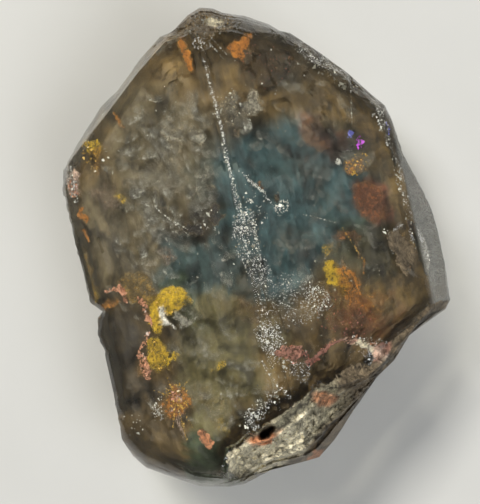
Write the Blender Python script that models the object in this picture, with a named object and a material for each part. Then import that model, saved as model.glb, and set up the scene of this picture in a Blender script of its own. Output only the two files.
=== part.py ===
"""A natural topaz crystal, one solid, lying on its flat back with its two big prism faces up.

+Y runs along the crystal's length (its c axis), +X across it and +Z up, away from the back.
The front is a height for every place (x, y), and so is the back. A wall joins them at the rim,
and the whole surface is one closed grid of cross-sections taken along the length.
"""

import math

import bmesh
import bpy
import numpy as np

MM = 0.001

# Sizes of the crystal
RIDGE_HEIGHT = 22.0 * MM  # from the back up to the ridge between the two prism faces
RIDGE_X = -1.05 * MM
SIDE_EDGE_X = 14.6 * MM  # the long edge where the right prism face meets the narrow side face
BACK_RIM_HEIGHT = 7.0 * MM  # where the rear faces meet the wall
WALL_SHRINK = 0.985  # the wall leans in a little towards the back

# Topaz's axial ratio a : b : c, which sets the slopes of its faces
AXIS_A = 0.5285
AXIS_B = 1.0

# Outline seen from the front, clockwise from the tip: x, y, the fall of the edge below the
# faces there, in millimetres, and how rough the edge is, from 0 for glassy to 1 for broken
RIM = (
    (-0.30, 22.75, 7.5, 1.0),
    (0.90, 22.40, 7.0, 1.0),
    (1.70, 21.80, 6.5, 0.9),
    (3.75, 20.95, 4.5, 0.3),
    (5.90, 19.60, 3.5, 0.2),
    (6.60, 18.85, 3.0, 0.5),
    (7.60, 18.40, 2.4, 0.8),
    (10.00, 15.90, 2.2, 0.9),
    (12.10, 13.50, 2.2, 0.9),
    (13.95, 10.95, 2.4, 0.9),
    (14.90, 9.70, 1.5, 0.5),
    (15.25, 7.90, 0.4, 0.1),
    (15.55, 4.60, 0.2, 0.0),
    (16.60, 0.90, 0.2, 0.0),
    (17.05, -1.20, 0.2, 0.0),
    (17.15, -3.40, 0.2, 0.0),
    (17.10, -6.10, 0.2, 0.0),
    (16.80, -10.00, 1.0, 0.3),
    (16.20, -10.75, 3.0, 0.8),
    (13.75, -11.75, 4.5, 0.9),
    (12.20, -12.35, 5.0, 1.0),
    (10.30, -14.35, 6.0, 1.0),
    (8.20, -15.65, 7.5, 1.0),
    (5.00, -18.55, 9.0, 1.0),
    (2.90, -20.55, 10.0, 1.0),
    (1.05, -21.85, 11.0, 1.0),
    (-0.20, -22.05, 11.0, 1.0),
    (-3.30, -21.85, 10.5, 1.0),
    (-6.50, -22.75, 10.0, 0.9),
    (-8.00, -22.60, 7.0, 0.5),
    (-10.75, -21.85, 4.0, 0.2),
    (-12.90, -20.55, 3.0, 0.2),
    (-15.40, -19.00, 2.8, 0.2),
    (-16.40, -17.65, 2.5, 0.2),
    (-17.05, -15.85, 1.0, 0.2),
    (-16.75, -7.05, 0.6, 0.3),
    (-17.05, -5.50, 0.6, 0.3),
    (-16.70, -3.90, 0.9, 0.5),
    (-16.10, -3.40, 1.6, 0.6),
    (-17.05, -2.35, 0.8, 0.4),
    (-17.00, -0.05, 0.5, 0.3),
    (-17.15, 3.40, 0.5, 0.3),
    (-17.15, 8.85, 1.2, 0.3),
    (-16.70, 10.70, 3.5, 0.4),
    (-14.35, 13.30, 4.5, 0.4),
    (-11.80, 15.75, 4.8, 0.4),
    (-9.75, 16.95, 4.8, 0.5),
    (-7.05, 19.25, 5.0, 0.6),
    (-4.65, 20.90, 5.5, 0.8),
    (-3.45, 21.10, 6.5, 1.0),
    (-1.65, 22.25, 7.0, 1.0),
)

# Where the sound faces end and the edge begins to fall, seen from the front, in millimetres
SOUND_EDGE = (
    (-1.60, 20.20),
    (0.00, 20.00),
    (2.20, 19.60),
    (3.60, 18.80),
    (6.70, 18.20),
    (9.30, 15.80),
    (11.40, 13.40),
    (13.30, 10.80),
    (14.40, 9.20),
    (15.10, 7.00),
    (15.40, 4.60),
    (16.45, 0.90),
    (16.90, -1.20),
    (17.00, -6.10),
    (16.60, -9.20),
    (15.20, -10.00),
    (13.20, -11.30),
    (11.20, -12.80),
    (9.40, -14.10),
    (7.00, -15.20),
    (4.20, -15.40),
    (2.00, -14.60),
    (1.50, -15.40),
    (-1.30, -16.80),
    (-2.90, -17.70),
    (-4.10, -18.00),
    (-5.20, -17.70),
    (-6.30, -18.40),
    (-7.40, -18.60),
    (-8.40, -21.20),
    (-10.75, -20.40),
    (-13.80, -18.30),
    (-15.30, -17.00),
    (-16.20, -15.60),
    (-16.45, -7.00),
    (-16.70, -5.50),
    (-15.70, -3.40),
    (-16.70, -2.00),
    (-16.90, 3.40),
    (-16.80, 8.60),
    (-15.90, 11.20),
    (-13.90, 12.80),
    (-10.90, 15.10),
    (-7.30, 18.00),
    (-4.20, 20.10),
)

# How far the edge has fallen, from the sound faces (0) to the rim (1): a rounded glassy edge,
# and a broken edge with its ledges and the open crack near the rim
GLASSY_EDGE = ((0.0, 0.0), (0.25, 0.06), (0.5, 0.22), (0.75, 0.52), (1.0, 1.0))
BROKEN_EDGE = (
    (0.0, 0.0),
    (0.04, 0.09),
    (0.24, 0.14),
    (0.28, 0.22),
    (0.55, 0.36),
    (0.72, 0.42),
    (0.78, 0.55),
    (0.84, 0.53),
    (1.0, 1.0),
)

# Rear faces: the way each faces in plan, in degrees from +X, and its distance from the centre
# in millimetres
REAR_FACES = (
    (0.0, 17.0),
    (46.3, 18.2),
    (90.0, 22.0),
    (133.7, 18.6),
    (180.0, 17.0),
    (225.0, 23.9),
    (270.0, 22.4),
    (310.6, 17.4),
)

# Shell-shaped scars: centre x, y, half length, half width, turn in degrees and depth
SCARS = (
    (5.6, -13.4, 4.3, 2.5, -12.0, 0.75),
    (14.2, -4.3, 3.0, 1.5, -83.0, 0.9),
    (-4.3, 16.6, 1.3, 0.8, 35.0, 0.25),
    (9.9, 15.6, 1.5, 0.9, -48.0, 0.5),
    (12.9, 11.9, 1.4, 0.8, -52.0, 0.5),
    (7.8, 17.8, 1.2, 0.8, -40.0, 0.4),
)
SCAR_RIPPLES = 3
RIPPLE_DEPTH = 0.12  # as a share of the scar's depth

# The worn strip along the ridge: y, half width in millimetres
RIDGE_STRIP = (
    (-18.0, 0.75),
    (-15.0, 0.8),
    (-5.0, 0.45),
    (-1.5, 0.35),
    (0.0, 0.6),
    (3.0, 0.45),
    (8.0, 0.3),
    (19.0, 0.25),
)

# The gash in the broken end: centre x, y, half length, half width, turn in degrees and depth
GASH = (-3.3, -18.0, 1.0, 0.55, 28.0, 3.0)

# Roughness of the broken ends
LUMP_HEIGHT = 0.42 * MM
LUMP_LENGTH = 2.4 * MM
LAYER_STEP = 0.9 * MM  # height of one ledge of the layered break
LAYER_SHARE = 0.5  # how far the break keeps to flat ledges

# Grid: greatest step along the length at the broken ends and between them, and the number of
# steps across each part
END_LENGTH = 9.0 * MM
END_ROW_STEP = 0.42 * MM
MIDDLE_ROW_STEP = 0.9 * MM
LEFT_STEPS = 22
STRIP_STEPS = 2
RIGHT_STEPS = 22
SIDE_FACE_STEPS = 3
WALL_STEPS = 3
REAR_FACE_STEPS = 3
FLAT_STEPS = 4
MERGE_DISTANCE = 0.00002


def clear_scene():
    """Removes every object that the file starts with."""
    for obj in list(bpy.data.objects):
        bpy.data.objects.remove(obj, do_unlink=True)


def fall_of_face(h, k):
    """How much a prism face (h k 0) falls for each step sideways, from the axial ratio."""
    return (k / AXIS_B) / (h / AXIS_A)


def closed_line(points):
    """The starts and ends of the segments of a closed line of (x, y, ...) in millimetres."""
    starts = np.array(points, dtype=float)
    starts[:, :2] *= MM
    return starts, np.roll(starts, -1, axis=0)


def nearest_on_line(x, y, points):
    """Distance from each place to a closed line, and the line's further columns there."""
    starts, ends = closed_line(points)
    best = np.full(x.shape, np.inf)
    extra = np.zeros(x.shape + (starts.shape[1] - 2,))
    for start, end in zip(starts, ends):
        along = end[:2] - start[:2]
        share = ((x - start[0]) * along[0] + (y - start[1]) * along[1]) / (along @ along)
        share = np.clip(share, 0.0, 1.0)
        distance = np.hypot(x - start[0] - share * along[0], y - start[1] - share * along[1])
        nearer = distance < best
        best = np.where(nearer, distance, best)
        values = start[2:] + share[..., None] * (end[2:] - start[2:])
        extra = np.where(nearer[..., None], values, extra)
    return best, extra


def inside_line(x, y, points):
    """True where a place lies inside a closed line, by counting the edges on its right."""
    starts, ends = closed_line(points)
    odd = np.zeros(x.shape, dtype=bool)
    for start, end in zip(starts, ends):
        spans = (start[1] > y) != (end[1] > y)
        rise = end[1] - start[1]
        if rise == 0.0:
            continue
        crossing = start[0] + (y - start[1]) / rise * (end[0] - start[0])
        odd ^= spans & (x < crossing)
    return odd


def rim_side(left):
    """The left or right half of the rim as rising y values with their x values, in metres."""
    rim = np.array(RIM)[:, :2] * MM
    top, bottom = int(np.argmax(rim[:, 1])), int(np.argmin(rim[:, 1]))
    turned = np.roll(rim, -top, axis=0)
    bottom = (bottom - top) % len(rim)
    if left:
        chain = np.vstack([turned[bottom:], turned[:1]])
    else:
        chain = turned[: bottom + 1][::-1]
    rising = np.maximum.accumulate(chain[:, 1])
    return rising, chain[:, 0]


def row_places():
    """The y of each cross-section: every corner of the rim, with even rows in between."""
    corners = np.unique(np.array(RIM)[:, 1] * MM)
    rows = [corners[:1]]
    for low, high in zip(corners[:-1], corners[1:]):
        near_end = min(low - corners[0], corners[-1] - high) < END_LENGTH
        step = END_ROW_STEP if near_end else MIDDLE_ROW_STEP
        steps = max(1, math.ceil((high - low) / step))
        rows.append(np.linspace(low, high, steps + 1)[1:])
    return np.concatenate(rows)


def worn_half_width(y):
    """Half the width of the worn strip along the ridge."""
    places = np.array(RIDGE_STRIP)
    return np.interp(y, places[:, 0] * MM, places[:, 1] * MM)


def sound_height(x, y):
    """The lowest of the two prism faces (110), the side face (120) and the worn ridge."""
    prism_fall = fall_of_face(1, 1)
    side_fall = fall_of_face(1, 2)
    prism = RIDGE_HEIGHT - np.abs(x - RIDGE_X) * prism_fall
    side = (
        RIDGE_HEIGHT
        - (SIDE_EDGE_X - RIDGE_X) * prism_fall
        - (x - SIDE_EDGE_X) * side_fall
    )
    worn = RIDGE_HEIGHT - worn_half_width(y) * prism_fall
    return np.minimum(np.minimum(prism, side), worn)


def turned(x, y, shape):
    """Places seen from a turned ellipse: 1 on its edge, with its own two coordinates."""
    centre_x, centre_y, half_length, half_width, turn = shape[:5]
    angle = math.radians(turn)
    dx, dy = x - centre_x * MM, y - centre_y * MM
    along = (dx * math.cos(angle) + dy * math.sin(angle)) / (half_length * MM)
    across = (dy * math.cos(angle) - dx * math.sin(angle)) / (half_width * MM)
    return np.hypot(along, across), along, across


def scar_depth(x, y):
    """Shallow bowls with shell ripples, deepest near the middle."""
    depth = np.zeros(x.shape)
    for shape in SCARS:
        reach, _, _ = turned(x, y, shape)
        bowl = np.clip(1.0 - reach**2, 0.0, 1.0) ** 0.8
        ripple = 1.0 + RIPPLE_DEPTH * np.cos(reach * SCAR_RIPPLES * 2.0 * math.pi)
        depth = np.maximum(depth, shape[5] * MM * bowl * ripple)
    return depth


def gash_depth(x, y):
    """A steep pit, cut deepest along its middle line."""
    reach, _, _ = turned(x, y, GASH)
    return GASH[5] * MM * np.clip((1.0 - reach) * 2.5, 0.0, 1.0)


def lumps(x, y):
    """Blocky unevenness between -1 and 1: slanted waves of three lengths, flattened."""
    swell = np.zeros(x.shape)
    for size, weight, angle in ((1.0, 0.5, 0.4), (0.52, 0.3, 2.1), (0.29, 0.2, 1.2)):
        length = LUMP_LENGTH * size / (2.0 * math.pi)
        u = (x * math.cos(angle) + y * math.sin(angle)) / length
        v = (y * math.cos(angle) - x * math.sin(angle)) / length
        swell += weight * np.tanh(2.0 * np.sin(u + 1.3 * np.sin(v * 0.7)) * np.cos(v * 0.8))
    return swell


def front_height(x, y):
    """The front: sound faces with scars, and the fallen edge with ledges and lumps."""
    to_rim, edge = nearest_on_line(x, y, RIM)
    to_sound, _ = nearest_on_line(x, y, SOUND_EDGE)
    fall, rough = edge[..., 0] * MM, edge[..., 1]
    beyond = ~inside_line(x, y, SOUND_EDGE)
    share = np.where(beyond, to_sound / np.maximum(to_sound + to_rim, MERGE_DISTANCE), 0.0)
    glassy = np.interp(share, *np.array(GLASSY_EDGE).T)
    broken = np.interp(share, *np.array(BROKEN_EDGE).T)
    drop = fall * (glassy + (broken - glassy) * rough)
    ledge = np.round(drop / LAYER_STEP) * LAYER_STEP
    drop += (ledge - drop) * LAYER_SHARE * rough * np.clip((1.0 - share) * 4.0, 0.0, 1.0)
    uneven = LUMP_HEIGHT * rough * lumps(x, y) * 4.0 * share * (1.0 - share)
    return sound_height(x, y) - scar_depth(x, y) - gash_depth(x, y) - drop + uneven


def back_height(x, y):
    """The back: the highest of the flat fracture at 0 and the rear faces."""
    height = np.zeros(x.shape)
    for way, distance in REAR_FACES:
        angle = math.radians(way)
        out = x * math.cos(angle) + y * math.sin(angle)
        face = BACK_RIM_HEIGHT - (distance * MM - out) * fall_of_face(1, 2)
        height = np.maximum(height, face)
    return height


def foot_lines(y, low_left, low_right):
    """Where the rear faces on each side come down to the flat back, in every row."""
    foot_left, foot_right = low_left.copy(), low_right.copy()
    for way, distance in REAR_FACES:
        angle = math.radians(way)
        sideways = math.cos(angle)
        out = distance * MM - BACK_RIM_HEIGHT / fall_of_face(1, 2)
        if sideways > 0.1:
            foot_right = np.minimum(foot_right, (out - y * math.sin(angle)) / sideways)
        if sideways < -0.1:
            foot_left = np.maximum(foot_left, (out - y * math.sin(angle)) / sideways)
    width = low_right - low_left
    foot_left = np.minimum(foot_left, low_left + 0.45 * width)
    foot_right = np.maximum(foot_right, low_right - 0.45 * width)
    return foot_left, foot_right


def between(start, end, steps):
    """Columns from start up to, but not including, end, for every row."""
    share = np.arange(steps) / steps
    return start[:, None] + (end - start)[:, None] * share


def cross_sections():
    """Every row's closed loop of points: over the front, down a wall, back and up a wall."""
    y = row_places()
    left = np.interp(y, *rim_side(left=True))
    right = np.interp(y, *rim_side(left=False))
    width = right - left
    strip = worn_half_width(y)
    ridge_left = left + np.clip(RIDGE_X - strip - left, 0.1 * width, 0.84 * width)
    ridge_right = left + np.clip(RIDGE_X + strip - left, 0.14 * width, 0.88 * width)
    edge = left + np.clip(SIDE_EDGE_X - left, 0.2 * width, 0.94 * width)
    front_x = np.hstack([
        between(left, ridge_left, LEFT_STEPS),
        between(ridge_left, ridge_right, STRIP_STEPS),
        between(ridge_right, edge, RIGHT_STEPS),
        between(edge, right, SIDE_FACE_STEPS),
        right[:, None],
    ])
    front_y = np.repeat(y[:, None], front_x.shape[1], axis=1)
    front = np.stack([front_x, front_y, front_height(front_x, front_y)], axis=-1)

    low_right, low_left, low_y = right * WALL_SHRINK, left * WALL_SHRINK, y * WALL_SHRINK
    foot_left, foot_right = foot_lines(low_y, low_left, low_right)
    back_x = np.hstack([
        between(low_right, foot_right, REAR_FACE_STEPS),
        between(foot_right, foot_left, FLAT_STEPS),
        between(foot_left, low_left, REAR_FACE_STEPS),
        low_left[:, None],
    ])
    back_y = np.repeat(low_y[:, None], back_x.shape[1], axis=1)
    back = np.stack([back_x, back_y, back_height(back_x, back_y)], axis=-1)

    down = np.arange(1, WALL_STEPS)[None, :, None] / WALL_STEPS
    right_wall = front[:, -1:] + (back[:, :1] - front[:, -1:]) * down
    left_wall = back[:, -1:] + (front[:, :1] - back[:, -1:]) * down
    return np.concatenate([front, right_wall, back, left_wall], axis=1)


def crystal_mesh():
    """Skins the cross-sections into one closed mesh with its two ends drawn to an edge."""
    loops = cross_sections()
    rows, around = loops.shape[:2]
    bm = bmesh.new()
    grid = [[bm.verts.new(point) for point in loop] for loop in loops]
    for row in range(rows - 1):
        for column in range(around):
            beside = (column + 1) % around
            bm.faces.new((
                grid[row][column],
                grid[row][beside],
                grid[row + 1][beside],
                grid[row + 1][column],
            ))
    bmesh.ops.remove_doubles(bm, verts=bm.verts, dist=MERGE_DISTANCE)
    bmesh.ops.triangulate(bm, faces=bm.faces)
    bmesh.ops.recalc_face_normals(bm, faces=bm.faces)
    mesh = bpy.data.meshes.new("topaz_crystal")
    bm.to_mesh(mesh)
    bm.free()
    return mesh


def topaz_material():
    """Clear smoky topaz: see-through, with topaz's own refractive index."""
    material = bpy.data.materials.new("smoky_blue_topaz")
    material.use_nodes = True
    shader = material.node_tree.nodes["Principled BSDF"]
    shader.inputs["Base Color"].default_value = (0.33, 0.33, 0.25, 1.0)
    shader.inputs["Roughness"].default_value = 0.15
    shader.inputs["Metallic"].default_value = 0.0
    shader.inputs["IOR"].default_value = 1.62
    shader.inputs["Transmission Weight"].default_value = 1.0
    return material


def build():
    """Builds the crystal as one object."""
    clear_scene()
    mesh = crystal_mesh()
    mesh.materials.append(topaz_material())
    crystal = bpy.data.objects.new("topaz_crystal", mesh)
    bpy.context.scene.collection.objects.link(crystal)


build()
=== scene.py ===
import math

import bmesh
import bpy
import numpy as np
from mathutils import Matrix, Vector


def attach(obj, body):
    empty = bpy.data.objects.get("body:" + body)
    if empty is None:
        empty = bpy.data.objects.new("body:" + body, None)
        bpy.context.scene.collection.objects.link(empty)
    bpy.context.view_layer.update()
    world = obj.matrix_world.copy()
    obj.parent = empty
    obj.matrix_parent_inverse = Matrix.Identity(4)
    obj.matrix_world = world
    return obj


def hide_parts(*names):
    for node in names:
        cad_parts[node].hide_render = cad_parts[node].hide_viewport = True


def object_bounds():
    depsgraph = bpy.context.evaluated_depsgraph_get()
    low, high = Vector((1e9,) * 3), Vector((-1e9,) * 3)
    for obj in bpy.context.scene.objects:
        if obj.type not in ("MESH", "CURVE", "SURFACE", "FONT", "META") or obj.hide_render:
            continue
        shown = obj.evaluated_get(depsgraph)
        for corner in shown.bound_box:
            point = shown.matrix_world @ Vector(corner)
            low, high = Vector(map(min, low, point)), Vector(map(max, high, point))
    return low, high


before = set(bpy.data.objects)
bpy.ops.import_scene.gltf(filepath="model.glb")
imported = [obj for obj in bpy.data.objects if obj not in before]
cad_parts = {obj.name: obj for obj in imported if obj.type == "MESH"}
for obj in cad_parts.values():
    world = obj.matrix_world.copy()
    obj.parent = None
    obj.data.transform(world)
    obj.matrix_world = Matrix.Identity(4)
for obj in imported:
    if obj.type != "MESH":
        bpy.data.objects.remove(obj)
cad_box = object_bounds()

# The crystal itself: one clear, smoky topaz. Two big prism faces meet at the ridge, a narrow side
# face lies on the right, and the tip, the base and the upper edges are broken. It grew in one
# piece and broke off the rock at its base.

MM = 0.001
RIDGE_HEIGHT = 22.0
RIDGE_X = -1.05
SIDE_EDGE_X = 14.6
BACK_RIM_HEIGHT = 7.0
WALL_SHRINK = 0.985
PRISM_FALL = 0.5285  # topaz's a : b, the slope of the faces (110)
SIDE_FALL = 2.0 * PRISM_FALL  # and of (120)

# The sections: mesh steps across each face, the spacing of rows, closer near both ends, how far
# chips nibble into the left and right rim and the walls dent, and how near points are to merge
LEFT_FACE_STEPS, RIDGE_STEPS, RIGHT_FACE_STEPS, SIDE_FACE_STEPS = 92, 6, 88, 16
REAR_FACE_STEPS, FLAT_BACK_STEPS, WALL_STEPS = 16, 14, 12
ROW_SPACING, END_ROW_SPACING, END_LENGTH = 0.2, 0.12, 8.0
NIBBLE_LEFT, NIBBLE_RIGHT, WALL_DENT = 0.09, 0.05, 0.008
WELD = 0.004

# Outline from the front, clockwise from the tip: x, y, the fall of the edge there, how broken it
# is (0 to 1) and how round its fall is (0 for a flat face, 1 for a rounded edge)
RIM = np.array((
    (-0.3, 22.75, 7.5, 1, 0.3), (0.9, 22.4, 7, 1, 0.3), (1.7, 21.8, 6.5, 0.9, 0.4),
    (3.75, 20.95, 4.5, 0.3, 0.8), (5.9, 19.6, 3.5, 0.2, 0.8), (6.6, 18.85, 3, 0.5, 0.6),
    (7.6, 18.4, 2.4, 0.8, 0.4), (10, 15.9, 2.2, 0.9, 0.3), (12.1, 13.5, 2.2, 0.9, 0.3),
    (13.95, 10.95, 2.4, 0.9, 0.3), (14.9, 9.7, 1.5, 0.5, 0.3), (15.25, 7.9, 0.4, 0.1, 0.3),
    (15.55, 4.6, 0.2, 0, 0.3), (16.6, 0.9, 0.2, 0, 0.3), (17.05, -1.2, 0.2, 0, 0.3),
    (17.15, -3.4, 0.2, 0, 0.3), (17.1, -6.1, 0.2, 0, 0.3), (16.8, -10, 1, 0.3, 0.3),
    (16.2, -10.75, 3, 0.8, 0.3), (13.75, -11.75, 4.5, 0.9, 0.3), (12.2, -12.35, 5, 1, 0.3),
    (10.3, -14.35, 6, 1, 0.3), (8.2, -15.65, 7.5, 1, 0.3), (5, -18.55, 9, 1, 0.3),
    (2.9, -20.55, 10, 1, 0.3), (1.05, -21.85, 11, 1, 0.3), (-0.2, -22.05, 11, 1, 0.3),
    (-3.3, -21.85, 10.5, 1, 0.3), (-6.5, -22.75, 10, 0.9, 0.3), (-8, -22.6, 7, 0.5, 0.8),
    (-10.75, -21.85, 4, 0.2, 1), (-12.9, -20.55, 3, 0.2, 1), (-15.4, -19, 2.8, 0.2, 1),
    (-16.4, -17.65, 2.5, 0.2, 1), (-17.05, -15.85, 1, 0.2, 1), (-16.75, -7.05, 0.6, 0.3, 0.5),
    (-17.05, -5.5, 0.6, 0.3, 0.5), (-16.7, -3.9, 0.9, 0.5, 0.5), (-16.1, -3.4, 1.6, 0.6, 0.5),
    (-17.05, -2.35, 0.8, 0.4, 0.5), (-17, -0.05, 0.5, 0.3, 0.5), (-17.15, 3.4, 0.5, 0.3, 0.5),
    (-17.15, 8.85, 1.2, 0.3, 0.3), (-16.7, 10.7, 3.5, 0.3, 0), (-14.35, 13.3, 4.5, 0.2, 0),
    (-11.8, 15.75, 4.8, 0.2, 0), (-9.75, 16.95, 4.8, 0.2, 0), (-7.05, 19.25, 5, 0.3, 0),
    (-4.65, 20.9, 5.5, 0.6, 0.1), (-3.45, 21.1, 6.5, 1, 0.2), (-1.65, 22.25, 7, 1, 0.3),
))

# Where the sound faces end and the edge begins to fall
SOUND_EDGE = np.array((
    (-1.6, 20.2), (0, 20), (2.2, 19.6), (3.6, 18.8), (6.7, 18.2),
    (9.3, 15.8), (11.4, 13.4), (13.3, 10.8), (14.4, 9.2), (15.1, 7),
    (15.4, 4.6), (16.45, 0.9), (16.9, -1.2), (17, -6.1), (16.6, -9.2),
    (15.2, -10), (13.2, -11.3), (11.2, -12.8), (9.4, -14.1), (7, -15.2),
    (4.2, -15.4), (2, -14.6), (1.5, -15.4), (-1.3, -16.8), (-2.9, -17.7),
    (-4.1, -18), (-5.2, -17.7), (-6.3, -18.4), (-7.4, -18.6), (-8.4, -21.2),
    (-10.75, -20.4), (-13.8, -18.3), (-15.3, -17), (-16.2, -15.6),
    (-16.45, -7), (-16.7, -5.5), (-15.7, -3.4), (-16.7, -2), (-16.9, 3.4),
    (-16.8, 8.6), (-15.9, 11.2), (-13.9, 12.8), (-10.9, 15.1), (-7.3, 18), (-4.2, 20.1),
))

# The fall across a broken edge, from the sound faces (0) to the rim (1), with its ledges and the
# open crack near the rim
BROKEN_EDGE = np.array((
    (0, 0), (0.03, 0.08), (0.24, 0.13), (0.27, 0.21), (0.55, 0.35), (0.72, 0.41),
    (0.76, 0.52), (0.79, 0.56), (0.83, 0.53), (1, 1),
))

# Rear faces: the way each faces in plan, in degrees from +X, and its distance from the centre
REAR_FACES = (
    (0, 17), (46.3, 18.2), (90, 22), (133.7, 18.6), (180, 17), (225, 23.9), (270, 22.4), (310.6, 17.4),
)

# Shell-shaped scars: centre x, y, half length, half width, turn in degrees, depth. The gash is an
# open crack in the base, given in the same way.
SCARS = (
    (5.6, -13.4, 4.3, 2.5, -12, 0.75), (14.2, -4.3, 3, 1.5, -83, 0.9), (-4.3, 16.6, 1.3, 0.8, 35, 0.25),
    (9.9, 15.6, 1.5, 0.9, -48, 0.5), (12.9, 11.9, 1.4, 0.8, -52, 0.5), (7.8, 17.8, 1.2, 0.8, -40, 0.4),
)
GASH = (-3.3, -18, 1, 0.55, 28, 3)

# Broken facets of the fallen edges, and the swells of the faint growth relief: height, size, seed.
# Striations run along the faces, ledges cross the broken edges, and chips line the broken rim.
FACETS = ((0.55, 1.5, 11), (0.22, 0.6, 21), (0.08, 0.25, 31))
GROWTH = ((0.035, 2.6, 3), (0.006, 0.45, 6))
STRIATION_HEIGHT = 0.02
LEDGE_HEIGHT = 0.42
LEDGES_PER_MM = 0.75
EDGE_CHIP_DEPTH, EDGE_CHIP_REACH = 0.22, 1.6

# The worn strip along the ridge: y and half width
RIDGE_STRIP = np.array((
    (-18, 0.75), (-15, 0.8), (-5, 0.45), (-1.5, 0.35), (0, 0.6), (3, 0.45), (8, 0.3), (19, 0.25),
))


def scatter(i, j, seed):
    """A fixed number between 0 and 1 for every pair of whole numbers, by mixing their bits."""
    mixed = (i * 374761393 + j * 668265263 + seed * 974634777) & 0xFFFFFFFF
    mixed = ((mixed ^ (mixed >> 13)) * 1274126177) & 0xFFFFFFFF
    return (mixed ^ (mixed >> 16)) / 4294967296.0


def swell(x, y, size, seed):
    """Smooth unevenness from -1 to 1: fixed values on a square net, blended across each square."""
    u, v = x / size, y / size
    i, j = np.floor(u).astype(np.int64), np.floor(v).astype(np.int64)
    u, v = u - i, v - j
    u, v = u * u * (3.0 - 2.0 * u), v * v * (3.0 - 2.0 * v)
    low = scatter(i, j, seed) * (1.0 - u) + scatter(i + 1, j, seed) * u
    high = scatter(i, j + 1, seed) * (1.0 - u) + scatter(i + 1, j + 1, seed) * u
    return 2.0 * (low * (1.0 - v) + high * v) - 1.0


def chips(x, y, size, seed):
    """Broken facets from about -1 to 1: each place takes the tilted plane of its nearest seed."""
    i, j = np.floor(x / size).astype(np.int64), np.floor(y / size).astype(np.int64)
    best = np.full(x.shape, np.inf)
    plane = np.zeros(x.shape)
    for di in (-1, 0, 1):
        for dj in (-1, 0, 1):
            ci, cj = i + di, j + dj
            dx = x / size - ci - scatter(ci, cj, seed)
            dy = y / size - cj - scatter(ci, cj, seed + 1)
            distance = dx * dx + dy * dy
            tilt_x = 2.0 * scatter(ci, cj, seed + 2) - 1.0
            tilt_y = 2.0 * scatter(ci, cj, seed + 3) - 1.0
            level = 2.0 * scatter(ci, cj, seed + 4) - 1.0
            nearer = distance < best
            best = np.where(nearer, distance, best)
            plane = np.where(nearer, 0.5 * level + tilt_x * dx + tilt_y * dy, plane)
    return plane


def off_stretch(x, y, start, end):
    """How far along a straight stretch each place lies, from 0 to 1, and its distance from it."""
    along = np.subtract(end, start)[:2]
    share = ((x - start[0]) * along[0] + (y - start[1]) * along[1]) / (along @ along)
    share = np.clip(share, 0.0, 1.0)
    return share, np.hypot(x - start[0] - share * along[0], y - start[1] - share * along[1])


def nearest_on_line(x, y, line):
    """Distance from each place to a closed line, and the line's further columns there."""
    best = np.full(x.shape, np.inf)
    extra = np.zeros(x.shape + (line.shape[1] - 2,))
    for start, end in zip(line, np.roll(line, -1, axis=0)):
        share, distance = off_stretch(x, y, start, end)
        nearer = distance < best
        best = np.where(nearer, distance, best)
        values = start[2:] + share[..., None] * (end[2:] - start[2:])
        extra = np.where(nearer[..., None], values, extra)
    return best, extra


def inside_line(x, y, line):
    """True where a place lies inside a closed line, by counting the edges on its right."""
    odd = np.zeros(x.shape, dtype=bool)
    for start, end in zip(line, np.roll(line, -1, axis=0)):
        rise = end[1] - start[1]
        if rise != 0.0:
            spans = (start[1] > y) != (end[1] > y)
            odd ^= spans & (x < start[0] + (y - start[1]) / rise * (end[0] - start[0]))
    return odd


def rim_side(left):
    """The left or right half of the rim as rising y values with their x values."""
    top = int(np.argmax(RIM[:, 1]))
    ring = np.roll(RIM[:, :2], -top, axis=0)
    bottom = int(np.argmin(ring[:, 1]))
    chain = np.vstack([ring[bottom:], ring[:1]]) if left else ring[: bottom + 1][::-1]
    return np.maximum.accumulate(chain[:, 1]), chain[:, 0]


def worn_half_width(y):
    """Half the width of the worn strip along the ridge."""
    return np.interp(y, RIDGE_STRIP[:, 0], RIDGE_STRIP[:, 1])


def sound_height(x, y):
    """The lowest of the two prism faces, the side face and the worn ridge."""
    prism = RIDGE_HEIGHT - np.abs(x - RIDGE_X) * PRISM_FALL
    side = RIDGE_HEIGHT - (SIDE_EDGE_X - RIDGE_X) * PRISM_FALL - (x - SIDE_EDGE_X) * SIDE_FALL
    worn = RIDGE_HEIGHT - worn_half_width(y) * PRISM_FALL
    return np.minimum(np.minimum(prism, side), worn)


def reach_of(x, y, shape):
    """How far out each place is from a turned ellipse's centre, 1 on the ellipse."""
    centre_x, centre_y, half_length, half_width, turn = shape[:5]
    angle = math.radians(turn)
    dx, dy = x - centre_x, y - centre_y
    along = (dx * math.cos(angle) + dy * math.sin(angle)) / half_length
    across = (dy * math.cos(angle) - dx * math.sin(angle)) / half_width
    return np.hypot(along, across)


def edge_state(x, y):
    """Share of the way from the sound faces to the rim, with the rim's fall, break and round."""
    to_rim, edge = nearest_on_line(x, y, RIM)
    to_sound, _ = nearest_on_line(x, y, SOUND_EDGE)
    beyond = ~inside_line(x, y, SOUND_EDGE)
    share = np.where(beyond, to_sound / np.maximum(to_sound + to_rim, 0.02), 0.0)
    return share, to_rim, edge[..., 0], edge[..., 1], edge[..., 2]


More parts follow.
